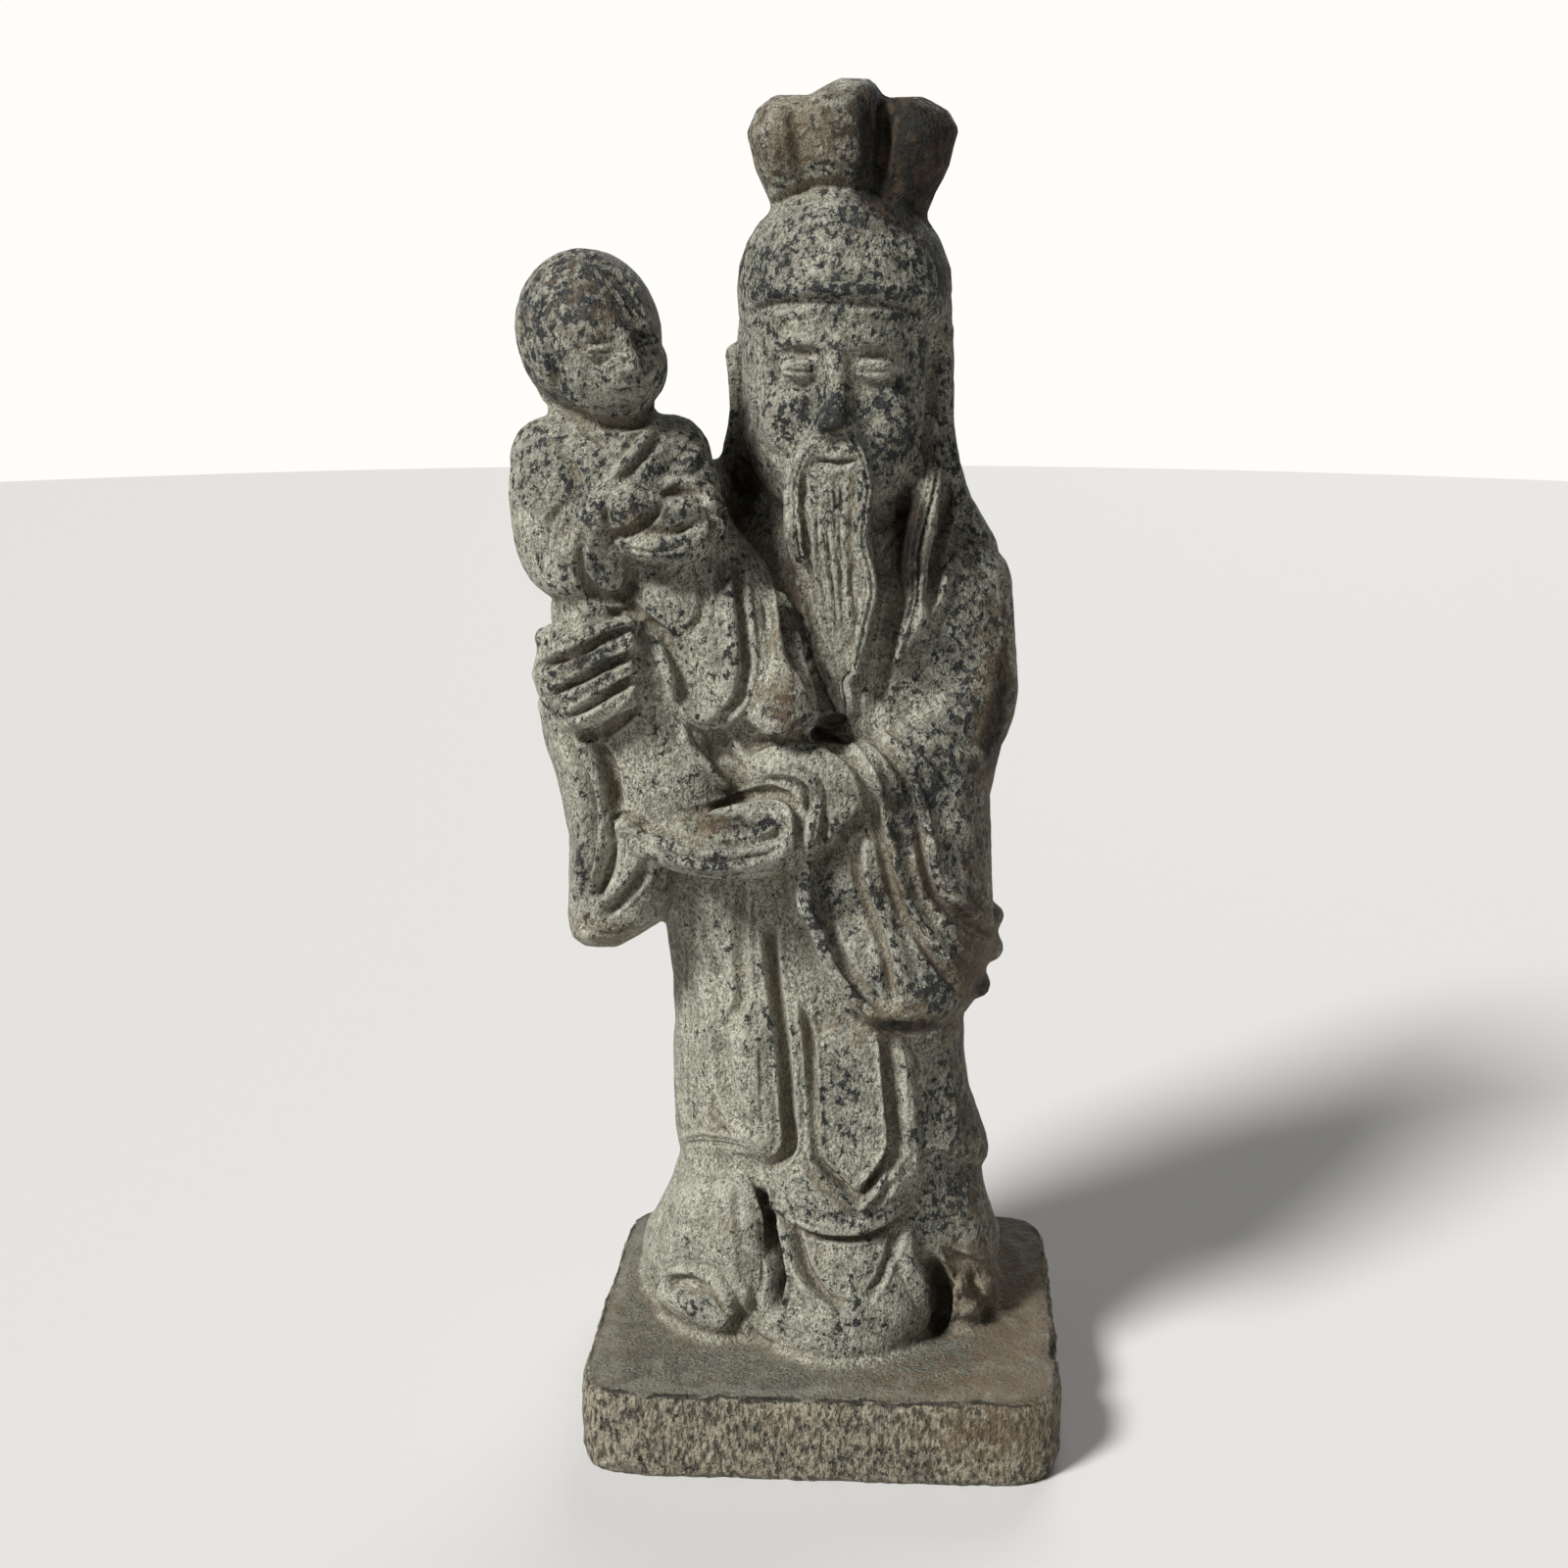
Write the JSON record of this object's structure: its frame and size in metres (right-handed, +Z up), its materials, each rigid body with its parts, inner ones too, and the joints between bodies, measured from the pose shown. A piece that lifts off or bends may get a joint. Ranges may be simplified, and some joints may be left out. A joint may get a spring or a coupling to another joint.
{
  "type": "stone statue of a standing elder holding a child",
  "caption": "Carved stone figure of a robed, bearded elder in a lobed crown who carries a child on one arm, standing on a square plinth cut from the same block.",
  "frame": {"origin": "middle of the plinth's underside", "axes": "+Z up along the figure's height, -Y toward the viewer whom the elder faces, +X to that viewer's right"},
  "size_m": [0.1964, 0.1416, 0.4796],
  "materials": {
    "stone": "weathered, pecked and matt"
  },
  "bodies": {
    "root": {"statue": "stone"}
  },
  "joints": []
}
